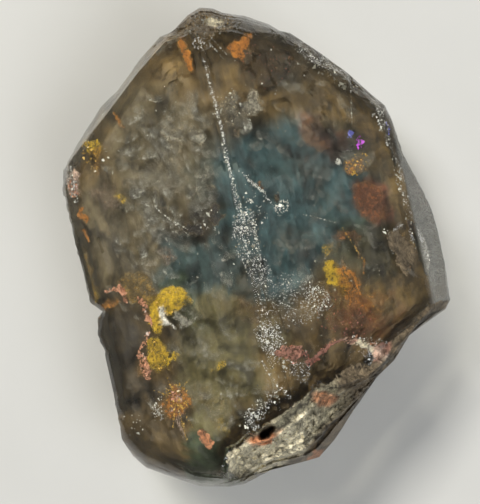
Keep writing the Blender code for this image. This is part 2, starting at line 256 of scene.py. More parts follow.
def front_height(x, y):
    """Sound faces less scars, gash and the edge's fall, plus growth relief, facets and ledges.

    A scar is a bowl, 1 - reach squared, with faint ripples. A sound edge falls as a power of the
    share, a broken one along BROKEN_EDGE, and its facets are highest halfway down.
    """
    share, to_rim, fall, rough, rounded = edge_state(x, y)
    depth = np.zeros(x.shape)
    for scar in SCARS:
        reach = reach_of(x, y, scar)
        bowl = np.clip(1.0 - reach**2, 0.0, 1.0) ** 0.8
        ripple = 1.0 + 0.03 * np.cos(reach * 5.0 * math.pi + swell(x, y, 1.5, 9))
        depth = np.maximum(depth, scar[5] * bowl * ripple)
    reach = reach_of(x, y, GASH)
    depth += GASH[5] * np.clip((1.0 - reach) * 2.5, 0.0, 1.0)
    smooth = share ** (1.0 + 1.4 * rounded)
    broken = np.interp(share, BROKEN_EDGE[:, 0], BROKEN_EDGE[:, 1])
    drop = fall * (smooth + (broken - smooth) * rough)
    across = 4.0 * share * (1.0 - share)
    facets = sum(height * chips(x, y, size, seed) for height, size, seed in FACETS)
    beds = share * fall * LEDGES_PER_MM + 0.35 * swell(x, y, 2.2, 12) + 0.12 * swell(x, y, 0.7, 13)
    facets += LEDGE_HEIGHT * (np.abs((beds % 1.0) * 1.15 - 0.15) - 0.5)
    near_edge = rough * np.clip(1.0 - to_rim / EDGE_CHIP_REACH, 0.0, 1.0) * (share < 0.01)
    relief = STRIATION_HEIGHT * swell(x * 3.0, y * 0.6, 1.1, 5)
    relief += sum(height * swell(x, y, size, seed) for height, size, seed in GROWTH)
    relief *= np.clip(to_rim, 0.0, 1.0)
    height = sound_height(x, y) - depth - drop + relief
    height += rough * across * facets
    height -= near_edge * EDGE_CHIP_DEPTH * np.abs(chips(x, y, 0.8, 41))
    highest = cad_box[1][2] / MM
    return np.minimum(height, highest)


def back_height(x, y):
    """The highest of the flat fracture at 0 and the rear faces, with the fracture left flat."""
    height = np.zeros(x.shape)
    for way, distance in REAR_FACES:
        angle = math.radians(way)
        out = x * math.cos(angle) + y * math.sin(angle)
        height = np.maximum(height, BACK_RIM_HEIGHT - (distance - out) * SIDE_FALL)
    return height


def foot_lines(y, low_left, low_right):
    """Where the rear faces on each side come down to the flat back, in every row."""
    foot_left, foot_right = low_left.copy(), low_right.copy()
    for way, distance in REAR_FACES:
        angle = math.radians(way)
        sideways = math.cos(angle)
        out = distance - BACK_RIM_HEIGHT / SIDE_FALL
        if sideways > 0.1:
            foot_right = np.minimum(foot_right, (out - y * math.sin(angle)) / sideways)
        if sideways < -0.1:
            foot_left = np.maximum(foot_left, (out - y * math.sin(angle)) / sideways)
    width = low_right - low_left
    foot_left = np.minimum(foot_left, low_left + 0.45 * width)
    return foot_left, np.maximum(foot_right, low_right - 0.45 * width)


def between(start, end, steps):
    """Columns from start up to, but not including, end, for every row."""
    return start[:, None] + (end - start)[:, None] * (np.arange(steps) / steps)


def crystal_rows():
    """The y of each cross-section: every corner of the rim, closer together at the ends."""
    corners = np.unique(RIM[:, 1])
    rows = [corners[:1]]
    for low, high in zip(corners[:-1], corners[1:]):
        near_end = min(low - corners[0], corners[-1] - high) < END_LENGTH
        spacing = END_ROW_SPACING if near_end else ROW_SPACING
        steps = max(1, math.ceil((high - low) / spacing))
        rows.append(np.linspace(low, high, steps + 1)[1:])
    return np.concatenate(rows)


def crystal_sections():
    """Closed loops across the crystal, one for every row: front, right wall, back, left wall.

    The rim is nibbled by chips along it, and the walls dent inwards most at mid-height.
    """
    y = crystal_rows()
    left, right = np.interp(y, *rim_side(True)), np.interp(y, *rim_side(False))
    width = right - left
    nibble = np.clip(width / 6.0, 0.0, 1.0) * np.clip(1.0 - np.abs(y) / 22.7, 0.0, 0.2) * 5.0
    left = left + NIBBLE_LEFT * nibble * (1.0 + chips(y, y * 0.0, 0.9, 51))
    right = right - NIBBLE_RIGHT * nibble * (1.0 + chips(y, y * 0.0, 0.7, 61))
    strip = worn_half_width(y)
    ridge_left = left + np.clip(RIDGE_X - strip - left, 0.1 * width, 0.84 * width)
    ridge_right = left + np.clip(RIDGE_X + strip - left, 0.14 * width, 0.88 * width)
    edge = left + np.clip(SIDE_EDGE_X - left, 0.2 * width, 0.94 * width)
    front_x = np.hstack([
        between(left, ridge_left, LEFT_FACE_STEPS),
        between(ridge_left, ridge_right, RIDGE_STEPS),
        between(ridge_right, edge, RIGHT_FACE_STEPS),
        between(edge, right, SIDE_FACE_STEPS),
        right[:, None],
    ])
    front_y = np.repeat(y[:, None], front_x.shape[1], axis=1)
    front = np.stack([front_x, front_y, front_height(front_x, front_y)], axis=-1)

    low_right, low_left, low_y = right * WALL_SHRINK, left * WALL_SHRINK, y * WALL_SHRINK
    foot_left, foot_right = foot_lines(low_y, low_left, low_right)
    back_x = np.hstack([
        between(low_right, foot_right, REAR_FACE_STEPS),
        between(foot_right, foot_left, FLAT_BACK_STEPS),
        between(foot_left, low_left, REAR_FACE_STEPS),
        low_left[:, None],
    ])
    back_y = np.repeat(low_y[:, None], back_x.shape[1], axis=1)
    back = np.stack([back_x, back_y, back_height(back_x, back_y)], axis=-1)

    down = (np.arange(1, WALL_STEPS) / WALL_STEPS)[None, :, None]
    walls = []
    for high, low, sign in ((front[:, -1:], back[:, :1], 1), (front[:, :1], back[:, -1:], -1)):
        wall = high + (low - high) * down
        run = np.cumsum(np.hypot(np.gradient(high[:, 0, 0]), np.gradient(y)))[:, None]
        run = np.repeat(run, down.shape[1], axis=1) + 100.0 * sign
        up = wall[..., 2]
        dent = 1.0 + 0.6 * chips(run, up, 2.6, 71) + 0.4 * chips(run, up, 1.0, 81)
        wall[..., :2] *= 1.0 - (WALL_DENT * dent * np.sin(down[..., 0] * math.pi))[..., None]
        walls.append(wall)
    return np.concatenate([front, walls[0], back, walls[1][:, ::-1]], axis=1), front_x.shape[1]


def placed(name, data):
    """A new object in the scene for a mesh, a lamp or the camera."""
    thing = bpy.data.objects.new(name, data)
    bpy.context.scene.collection.objects.link(thing)
    return thing


def grid_piece(name, points, wrap=False, turned=False):
    """A mesh from one or more grids of points, closed round each row if wrap is set.

    Each square goes along its row first or, if turned is set, along its column first.
    """
    rows, columns = points.shape[-3:-1]
    corner = np.arange(points.size // 3).reshape(-1, rows, columns)
    beside = np.roll(corner, -1, axis=2) if wrap else corner[..., 1:]
    here = corner if wrap else corner[..., :-1]
    quads = np.stack([here[:, :-1], beside[:, :-1], beside[:, 1:], here[:, 1:]], axis=-1)
    if turned:
        quads = quads[..., [0, 3, 2, 1]]
    mesh = bpy.data.meshes.new(name)
    mesh.from_pydata((points.reshape(-1, 3) * MM).tolist(), [], quads.reshape(-1, 4).tolist())
    return placed(name, mesh)


def mark(piece, name, values):
    """Stores one number for every point of a piece, for its material to read."""
    layer = piece.data.attributes.new(name, "FLOAT", "POINT")
    layer.data.foreach_set("value", np.ascontiguousarray(values, dtype=np.float32).ravel())


def mark_colour(piece, name, colours):
    """Stores one colour for every point of a piece, for its material to read."""
    layer = piece.data.attributes.new(name, "FLOAT_COLOR", "POINT")
    colours = colours.reshape(-1, 3)
    colours = np.hstack([colours, np.ones((len(colours), 1))])
    layer.data.foreach_set("color", np.ascontiguousarray(colours, dtype=np.float32).ravel())


def near_path(x, y, path, width):
    """1 on a path of straight lines, falling off smoothly to both sides over a given width."""
    best = np.full(x.shape, np.inf)
    for start, end in zip(path[:-1], path[1:]):
        best = np.minimum(best, off_stretch(x, y, start, end)[1])
    return np.exp(-((best / width) ** 2))


def in_patches(x, y, patches):
    """The strongest of several soft-edged turned ellipses: x, y, half sizes, turn, strength."""
    cover = np.zeros(x.shape)
    for patch in patches:
        reach = reach_of(x, y, patch)
        cover = np.maximum(cover, patch[5] * np.clip(1.35 - reach, 0.0, 0.5) * 2.0)
    return cover


def laid_on(x, y, ground, coats, ragged=0.35, facet=0.9):
    """The colour and cover of coats laid one over another, each with ragged patches and paths.

    The patches' outlines wander by smooth swells of three sizes, and every broken facet of the
    given size is a little lighter or darker than the next.
    """
    wide_x, wide_y = x, y
    for size, share, seed in ((2.4, 1.2, 101), (0.9, 0.8, 103), (0.35, 0.45, 105)):
        wide_x = wide_x + share * ragged * swell(x, y, size, seed)
        wide_y = wide_y + share * ragged * swell(x, y, size, seed + 1)
    colour = np.zeros(x.shape + (3,)) + np.array(ground)
    cover = np.zeros(x.shape)
    for tone, patches, paths in coats:
        here = in_patches(wide_x, wide_y, patches)
        for path, width, strength in paths:
            here = np.maximum(here, strength * near_path(wide_x, wide_y, path, width))
        here = np.clip(here, 0.0, 1.0)
        colour += (np.array(tone) - colour) * here[..., None]
        cover = np.maximum(cover, here)
    light = 1.0 + 0.45 * chips(wide_x, wide_y, facet, 111)
    light += 0.2 * chips(wide_x, wide_y, 0.4 * facet, 121)
    return colour * light[..., None], cover


# White frost of etch pits and crushed crystal, on the surface. A patch is x, y, half length, half
# width, turn in degrees, strength, and a path is its corners, width, strength, here and below.
FROST_PATCHES = (
    (-0.9, 0.6, 0.75, 2.4, -6, 0.5), (-0.8, -3.6, 1.2, 1.4, 0, 0.45), (1.9, -6.8, 3.6, 2.6, -18, 0.34),
    (4.2, -7, 1.6, 1.6, 0, 0.4), (-0.5, -9.4, 0.8, 2.3, 14, 0.62), (0.4, -13.4, 2, 0.8, -35, 0.42),
    (-4.5, -16.4, 0.6, 1.4, -20, 0.7), (-2.4, -15.6, 1.6, 0.5, 30, 0.5),
    (-12.9, -13.6, 0.4, 1.2, -30, 0.42), (-16.2, 9.2, 0.5, 1.6, 0, 0.45), (-0.8, 18.9, 0.9, 1, 30, 0.5),
    (10.6, 14.7, 3.4, 0.4, -46, 0.6), (14.2, 9.6, 0.4, 1.4, 0, 0.62), (14.7, 3, 0.2, 6, 0, 0.5),
    (9, -13.4, 1.6, 0.4, 40, 0.5),
)
FROST_PATHS = (
    (((-1.1, 17.6), (-0.9, 12), (-1, 7.7), (-1.2, 4), (-1.1, 1.5)), 0.14, 0.8),
    (((-0.1, 1.4), (0, -1.2), (-0.2, -3.4)), 0.12, 0.6),
    (((-2.2, -11.4), (-1.6, -13.4), (-0.3, -15.4)), 0.16, 0.7),
    (((-0.3, 6.8), (0.8, 5.1), (1.3, 4.4), (2.1, 2.9), (3.1, 1.9)), 0.13, 0.8),
    (((12.3, -4.2), (12.3, -2.9), (12.9, -2.2), (13.8, -1.9)), 0.16, 0.85),
)

CREAM = (0.95, 0.86, 0.62)
CHALK_GREY = (0.52, 0.47, 0.32)
ROCK_BROWN = (0.20, 0.15, 0.09)
# Near black: dark cracks, and painted shadow in the crust's gash and under its ledges
DARK_CRACK_AND_SHADOW = (0.03, 0.024, 0.018)
TERRACOTTA = (0.80, 0.34, 0.16)
ROSE = (0.42, 0.16, 0.12)
SALMON = (0.62, 0.32, 0.20)

# The chalky crust of the broken base, the stains that lie on the surface, painted shadow in the gash,
# under the overhanging ledge and under the lower right corner, and a painted highlight on the knob at
# the tip: for every colour, its patches and its paths. A later coat covers the earlier ones.
CRUST_AND_PAINTED_LIGHT_COATS = (
    (ROCK_BROWN, (
        (3, -18.2, 6, 2.6, 40, 0.85), (9, -14.6, 4.5, 1, 42, 0.8), (-0.2, 21.3, 2.9, 1.5, -8, 0.55),
        (14.6, -10.7, 2.2, 0.6, 25, 0.7), (13.2, -4.5, 1, 2.1, 4, 0.75), (-16.6, -3.6, 0.6, 1.4, 0, 0.6),
    ), ()),
    (CHALK_GREY, (
        (-1.6, -18.6, 5.5, 1.7, 20, 0.95), (1.4, -16.7, 2.8, 1.1, 38, 0.9), (-6.2, -21, 1.6, 1.6, 0, 0.7),
    ), ()),
    (CREAM, (
        (-3.6, -19.8, 3.6, 1.5, 10, 1), (-6.6, -20.2, 1.1, 1.4, 0, 0.9), (-0.4, -18.6, 2.2, 0.9, 32, 0.9),
        # The first patch on the next line is a painted highlight on the knob at the tip.
        (0.4, 21.2, 0.9, 0.4, -5, 0.85), (-3.6, -21.3, 1.8, 0.7, 0, 1),
    ), (
        (((5.6, -10.9), (7.5, -11.8), (8.9, -12.9), (9.7, -14)), 0.4, 0.8),
    )),
    (TERRACOTTA, (
        (-4, -18.6, 1.5, 0.6, 12, 1), (2.7, -16.1, 1, 0.7, -20, 0.75), (0.7, -21.3, 0.8, 0.4, 0, 0.6),
        (-9, -17.6, 0.4, 0.9, 10, 0.9),
    ), ()),
    (ROSE, (
        (0.7, -11.4, 1.5, 0.9, -20, 0.6), (9.4, -13, 0.8, 1, 0, 0.6),
    ), (
        (((2, -12.9), (3.8, -11.8), (5.2, -11), (6.8, -11.4)), 0.3, 0.85),
    )),
    # Painted shadow: the first patch darkens the gash, the first path is the shade under the overhanging
    # ledge and the last path the shade under the lower right corner. The middle path is dark along the
    # cracks near the rim.
    (DARK_CRACK_AND_SHADOW, (
        (-3.4, -18, 0.75, 0.4, 15, 1),
    ), (
        (((-3.3, -18.1), (-1.6, -18), (-0.3, -17.3), (1.6, -15.6), (2, -14.7)), 0.14, 0.8),
        (((0.8, -20.1), (3.1, -18.9), (5, -17.9), (6.3, -17.1), (9, -14.9), (10.4, -13.6)), 0.2, 0.85),
        (((10.8, -13), (13.4, -11.6), (16.2, -10.6)), 0.22, 0.9),
    )),
)

BACK_FROST = 0.3
# Strength of a pale haze on the side face: painted light that stands in for the pale floor seen through
# that face.
SIDE_PAINTED_LIGHT = 0.4
SIDE_FACE_END = -10.0

sections, front_columns = crystal_sections()
crystal = grid_piece("topaz_crystal_body", sections, wrap=True)
place_x, place_y = sections[..., 0], sections[..., 1]
front_half = np.zeros(place_x.shape)
front_half[:, :front_columns] = 1.0
edge_share, _, _, edge_rough, _ = edge_state(place_x, place_y)
wander_x, wander_y = place_x, place_y
for size, shift, seed in ((1.8, 0.9, 131), (0.6, 0.4, 133)):
    wander_x = wander_x + shift * swell(place_x, place_y, size, seed)
    wander_y = wander_y + shift * swell(place_x, place_y, size, seed + 1)
wide_frost = in_patches(wander_x, wander_y, FROST_PATCHES)
for path, width, strength in FROST_PATHS:
    wide_frost = np.maximum(wide_frost, strength * near_path(place_x, place_y, path, width))
# The crust coats also paint shadow and a highlight into this colour and cover.
crust_and_painted_light_colour, crust_and_painted_light_cover = laid_on(place_x, place_y, ROCK_BROWN, CRUST_AND_PAINTED_LIGHT_COATS)
side_face = np.clip((place_x - SIDE_EDGE_X - 0.3) * 3.0, 0.0, 1.0) * (place_y > SIDE_FACE_END)
mark(crystal, "frost", wide_frost * front_half + BACK_FROST * (1.0 - front_half))
mark(crystal, "etched", 1.0 - front_half)
# The side face gets a pale haze, painted light for the pale floor seen through it.
mark(crystal, "side_painted_light", SIDE_PAINTED_LIGHT * side_face * front_half)
mark(crystal, "broken", edge_rough * np.clip(edge_share * 12.0, 0.0, 1.0) * front_half)
mark(crystal, "crust", crust_and_painted_light_cover * front_half)
mark_colour(crystal, "crust_and_painted_light_colour", crust_and_painted_light_colour)


def finish_shape(piece, weld=0.0, sharp=24.0):
    """Merges points that meet, turns the faces outwards and keeps edges past an angle sharp."""
    if weld:
        bm = bmesh.new()
        bm.from_mesh(piece.data)
        bmesh.ops.remove_doubles(bm, verts=bm.verts, dist=weld * MM)
        bmesh.ops.recalc_face_normals(bm, faces=bm.faces)
        bm.to_mesh(piece.data)
        bm.free()
    piece.data.shade_smooth()
    piece.data.set_sharp_from_angle(angle=math.radians(sharp))


finish_shape(crystal, weld=WELD)


class Wire:
    """A number in a material. Sums, differences and products of wires add Math nodes."""

    def __init__(self, material, socket):
        self.material = material
        self.socket = socket

    def math(self, operation, first, second):
        return self.material.node("ShaderNodeMath", {"operation": operation}, {0: first, 1: second})[0]

    def __add__(self, other):
        return self.math("ADD", self, other)

    def __sub__(self, other):
        return self.math("SUBTRACT", self, other)

    def __rsub__(self, other):
        return self.math("SUBTRACT", other, self)

    def __mul__(self, other):
        return self.math("MULTIPLY", self, other)

    __radd__ = __add__
    __rmul__ = __mul__

    def larger(self, other):
        return self.math("MAXIMUM", self, other)

    def step(self, low, high):
        """0 below low and 1 above high, or the other way round, smooth between them."""
        return self.material.node(
            "ShaderNodeMapRange",
            {"interpolation_type": "SMOOTHSTEP"},
            {0: self, 1: low, 2: high, 3: 0.0, 4: 1.0},
        )[0]


class Outputs:
    """A node's outputs by number or name, as wires."""

    def __init__(self, material, made):
        self.material = material
        self.made = made

    def __getitem__(self, key):
        return Wire(self.material, self.made.outputs[key])


class Finish:
    """One material under construction, with patterns measured in millimetres."""

    def __init__(self, name):
        self.material = bpy.data.materials.new(name)
        self.material.use_nodes = True
        self.tree = self.material.node_tree
        self.tree.nodes.clear()
        self.place = self.node("ShaderNodeTexCoord")["Object"]

    def node(self, kind, settings=None, values=None):
        """Adds a node: its settings first, then the values or wires of its sockets."""
        made = self.tree.nodes.new(kind)
        for key, value in (settings or {}).items():
            setattr(made, key, value)
        for key, value in (values or {}).items():
            socket = made.inputs[key]
            if isinstance(value, Wire):
                self.tree.links.new(value.socket, socket)
            elif socket.type == "RGBA":
                socket.default_value = (*value, 1.0)
            else:
                socket.default_value = value
        return Outputs(self, made)

    def attribute(self, name, output="Fac"):
        return self.node("ShaderNodeAttribute", {"attribute_name": name})[output]

    def spread(self, size, stretch=(1.0, 1.0, 1.0), turn=0.0):
        """Object coordinates scaled so that size millimetres count as one."""
        scale = tuple(1.0 / (size * MM * s) for s in stretch)
        return self.node(
            "ShaderNodeMapping", {},
            {"Vector": self.place, "Rotation": (0.0, 0.0, turn), "Scale": scale},
        )["Vector"]

    def noise(self, size, detail=4.0, roughness=0.55, distortion=0.0, **spread):
        """Cloudy noise from 0 to 1."""
        return self.node("ShaderNodeTexNoise", {}, {
            "Vector": self.spread(size, **spread), "Scale": 1.0, "Detail": detail,
            "Roughness": roughness, "Distortion": distortion,
        })[0]

    def blend(self, first, second, factor):
        """A colour that goes from first to second."""
        return self.node("ShaderNodeMix", {"data_type": "RGBA"}, {0: factor, 6: first, 7: second})[2]

    def tinted(self, colour, strength):
        """A colour multiplied by a number."""
        return self.node(
            "ShaderNodeVectorMath", {"operation": "SCALE"}, {"Vector": colour, "Scale": strength}
        )["Vector"]

    def bump(self, height, depth, strength=1.0):
        return self.node(
            "ShaderNodeBump", {}, {"Strength": strength, "Distance": depth * MM, "Height": height}
        )["Normal"]

    def surface(self, **values):
        """A Principled shader, its sockets named with underscores for spaces."""
        named = {key.replace("_", " "): value for key, value in values.items()}
        return self.node("ShaderNodeBsdfPrincipled", {}, named)["BSDF"]

    def over(self, under, upper, factor):
        """A shader that shows upper over under by a factor."""
        return self.node("ShaderNodeMixShader", {}, {0: factor, 1: under, 2: upper})[0]

    def end(self, surface, volume=None):
        """Connects the finished surface, and the inside of a clear solid."""
        output = self.node("ShaderNodeOutputMaterial", {}, {"Surface": surface})
        if volume is not None:
            self.tree.links.new(volume.socket, output.made.inputs["Volume"])
        return self.material


TOPAZ_IOR = 1.62
CLEAR = (0.93, 0.93, 0.9)
LIT_THROUGH = (0.86, 0.86, 0.84)
FROST_SHADE = (0.45, 0.45, 0.40)
FROST_LIGHT = (0.85, 0.85, 0.8)
CRACK_DARK_TONE = (0.06, 0.045, 0.025)
SMOKE_TINT = (0.62, 0.55, 0.34)
SMOKE_DENSITY = 36.0


def clear_topaz():
    """Smoky clear topaz, faintly etched, with white frost and with crust on the broken base. A pale haze
    of painted light lies on the side face, and the crust's colour also holds painted shadow and a
    painted highlight.

    Light that makes shadows passes straight through, so the lamps reach what shows inside.
    """
    f = Finish("clear_smoky_topaz")
    wide = f.noise(1.6, detail=5.0)
    fine = f.noise(0.22, detail=3.0)
    grain = f.noise(0.11, detail=2.0)
    broken = f.attribute("broken")
    roughness = wide.step(0.35, 0.75) * 0.12 + 0.04 + broken * 0.15 + f.attribute("etched") * 0.45
    ripple = f.bump(wide * 1.5 + fine * 0.5 + grain * 0.2, 0.05, 0.6)
    clear = f.surface(
        Base_Color=CLEAR, Roughness=roughness, IOR=TOPAZ_IOR, Transmission_Weight=1.0, Normal=ripple
    )
    lit_through = f.node("ShaderNodeBsdfTransparent", {}, {"Color": LIT_THROUGH})[0]
    clear = f.over(clear, lit_through, f.node("ShaderNodeLightPath")["Is Shadow Ray"])

    pits = (fine * 0.55 + grain * 0.45).step(0.5, 0.66)
    frost_and_painted_light_mask = (f.attribute("frost") * (pits * 1.2 + 0.35) - 0.25).step(0.0, 0.45)
    # The frost shader also lays the side face's pale haze, painted light for the pale floor seen through
    # it.
    frost_and_painted_light_mask = frost_and_painted_light_mask.larger(f.attribute("side_painted_light") * (wide * 0.8 + fine * 0.6 + 0.2))
    frost = f.surface(
        Base_Color=f.blend(FROST_SHADE, FROST_LIGHT, grain.step(0.35, 0.65)),
        Roughness=0.35, Normal=f.bump(fine + grain, 0.08),
    )
    body = f.over(clear, frost, frost_and_painted_light_mask * 0.85)

    crumbs = f.noise(0.45, detail=7.0, roughness=0.75, distortion=0.8)
    cracks = f.noise(1.3, detail=5.0, roughness=0.6, distortion=1.5)
    cracks = cracks.step(0.44, 0.49) * cracks.step(0.54, 0.49)
    tone = f.tinted(f.attribute("crust_and_painted_light_colour", "Color"), crumbs.step(0.32, 0.68) + 0.4)
    # Near-black along the crust's cracks, where the bump also sinks them.
    tone = f.blend(tone, CRACK_DARK_TONE, cracks * crumbs.step(0.55, 0.35) * 0.8)
    # The crust's cover and colour also carry painted shadow in the gash, under the overhanging ledge and
    # under the lower right corner, and a painted highlight on the knob.
    crust_and_painted_light_mask = (f.attribute("crust") - 0.5 + (crumbs - 0.5) * 1.3).step(-0.06, 0.12)
    crust = f.surface(
        Base_Color=tone, Roughness=0.55, Coat_Weight=crumbs.step(0.45, 0.7) * 0.6, Coat_Roughness=0.2,
        Normal=f.bump(crumbs - cracks * 0.4, 0.25),
    )
    body = f.over(body, crust, crust_and_painted_light_mask)
    smoke = f.node(
        "ShaderNodeVolumeAbsorption", {}, {"Color": SMOKE_TINT, "Density": SMOKE_DENSITY}
    )["Volume"]
    return f.end(body, smoke)


crystal.data.materials.append(clear_topaz())
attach(crystal, "root")
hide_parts("topaz_crystal")

# The cloudy heart of the crystal: natural smoke-brown colour with a blue-green zone, full of tiny
# bubbles and healed cracks. It is part of the same crystal and only tinted and clouded in growth.

SMOKE = (0.115, 0.076, 0.028)
SMOKE_DARK = (0.045, 0.032, 0.015)
BLUE_GREEN = (0.034, 0.068, 0.076)
DEEP_GREEN = (0.04, 0.055, 0.028)
OLIVE = (0.115, 0.102, 0.045)
GREY_BROWN = (0.105, 0.09, 0.058)
RED_BROWN = (0.16, 0.05, 0.02)

HEART_COATS = (
    (GREY_BROWN, (
        (-6.5, 9.5, 6, 6, 0, 0.8), (-13, 3, 3.5, 6, 0, 0.8),
    ), ()),
    (BLUE_GREEN, (
        (4.2, 3, 7.4, 6.4, -25, 1), (1.5, -1, 3.6, 4.5, 0, 1), (-5.4, -1.4, 3.8, 3.6, 0, 0.9),
    ), ()),
    (OLIVE, (
        (-5.5, -9.5, 3.8, 4.8, 10, 0.9), (-8.1, -14.3, 1.8, 3.2, 10, 1),
    ), ()),
    (DEEP_GREEN, (
        (-7.6, -4.5, 1.6, 2.6, 0, 0.8), (-9, -19.5, 1.6, 2, 0, 1), (9.5, -2.5, 2.5, 3, 0, 0.7),
    ), ()),
    (SMOKE_DARK, (
        (4.5, 16.2, 4.6, 2.6, -20, 0.95), (-3.2, 3.2, 1.8, 1, 20, 0.9), (-15, -9, 2.6, 5.5, 8, 0.95),
        (-12.8, -6, 1.7, 3.4, 0, 0.8), (-13.8, -17, 3, 2.6, -30, 0.6), (-5.2, 2.6, 1.6, 1.2, 0, 0.9),
        (0.6, 9.4, 1, 1, 0, 0.7), (10, -3, 2.6, 2.2, 0, 0.6),
    ), ()),
    (RED_BROWN, (
        (7.4, 8, 1.4, 2.2, 10, 0.5), (11.2, 1, 1.6, 1.9, 0, 0.8), (7.5, -9.2, 3, 1.6, -20, 0.6),
    ), ()),
)


# It takes every third section and every second point. Then come its size as a share of the
# crystal's, its lowest height, and the line that keeps it clear of the side face:
# x = HEART_RIGHT + HEART_LEAN * z
HEART_ROWS, HEART_COLUMNS = 3, 2
HEART_WIDTH, HEART_LENGTH, HEART_THICKNESS = 0.9, 0.92, 0.8
HEART_FOOT = 1.2
HEART_RIGHT, HEART_LEAN = 10.2, 0.3


def heart_sections():
    """The crystal's own sections drawn in towards its axis, uneven in height by swells and chips."""
    points = sections[::HEART_ROWS, ::HEART_COLUMNS].copy()
    low, high = points[..., 0].min(axis=1), points[..., 0].max(axis=1)
    middle = (0.5 * (low + high))[:, None]
    x, y, z = points[..., 0], points[..., 1], points[..., 2]
    x = middle + (x - middle) * HEART_WIDTH
    x = np.minimum(x, HEART_RIGHT + HEART_LEAN * z + 0.15 * np.clip(x - 12.0, 0.0, None))
    y = y * HEART_LENGTH
    lumps = 1.0 + 0.05 * swell(x, y, 2.4, 201) + 0.03 * chips(x, y, 1.6, 202)
    return np.stack([x, y, HEART_FOOT + (z - 0.6) * HEART_THICKNESS * lumps], axis=-1)


heart_points = heart_sections()
heart = grid_piece("cloudy_heart", heart_points, wrap=True)
heart_colour, _ = laid_on(
    heart_points[..., 0], heart_points[..., 1], SMOKE, HEART_COATS, ragged=1.0, facet=2.6
)
mark_colour(heart, "tone", heart_colour)
finish_shape(heart, weld=WELD, sharp=40.0)


def cloudy_topaz():
    """Brown, olive and blue-green cloud, mottled and partly clear."""
    f = Finish("cloudy_topaz")
    wide = f.noise(5.0, detail=9.0, roughness=0.62, distortion=1.6)
    streaks = f.noise(1.6, detail=6.0, roughness=0.65, distortion=0.8, stretch=(0.6, 2.2, 1.0), turn=0.6)
    grain = f.noise(0.15, detail=2.0)
    depth = wide.step(0.32, 0.68) * 1.25 + streaks.step(0.3, 0.75) * 0.7 + (grain - 0.5) * 0.9
    tone = f.tinted(f.attribute("tone", "Color"), depth + 0.1)
    cloud = f.surface(
        Base_Color=tone, Roughness=0.5, Alpha=wide.step(0.2, 0.5) * 0.25 + 0.72,
        Normal=f.bump(streaks, 0.3),
    )
    return f.end(cloud)


heart.data.materials.append(cloudy_topaz())
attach(heart, "root")

# Iron stains and thin films that crept into cracks close under the faces: rust, gold, red-brown and
# whitish healed cracks. Each is only a skin inside the crystal, half a millimetre down.

RUST = (0.38, 0.14, 0.014)
GOLD = (0.56, 0.37, 0.012)
OCHRE = (0.22, 0.14, 0.035)
PALE_GREY = (0.30, 0.29, 0.24)
MAUVE = (0.19, 0.13, 0.115)
PINK_WHITE = (0.75, 0.55, 0.47)
WHITE = (0.85, 0.84, 0.78)

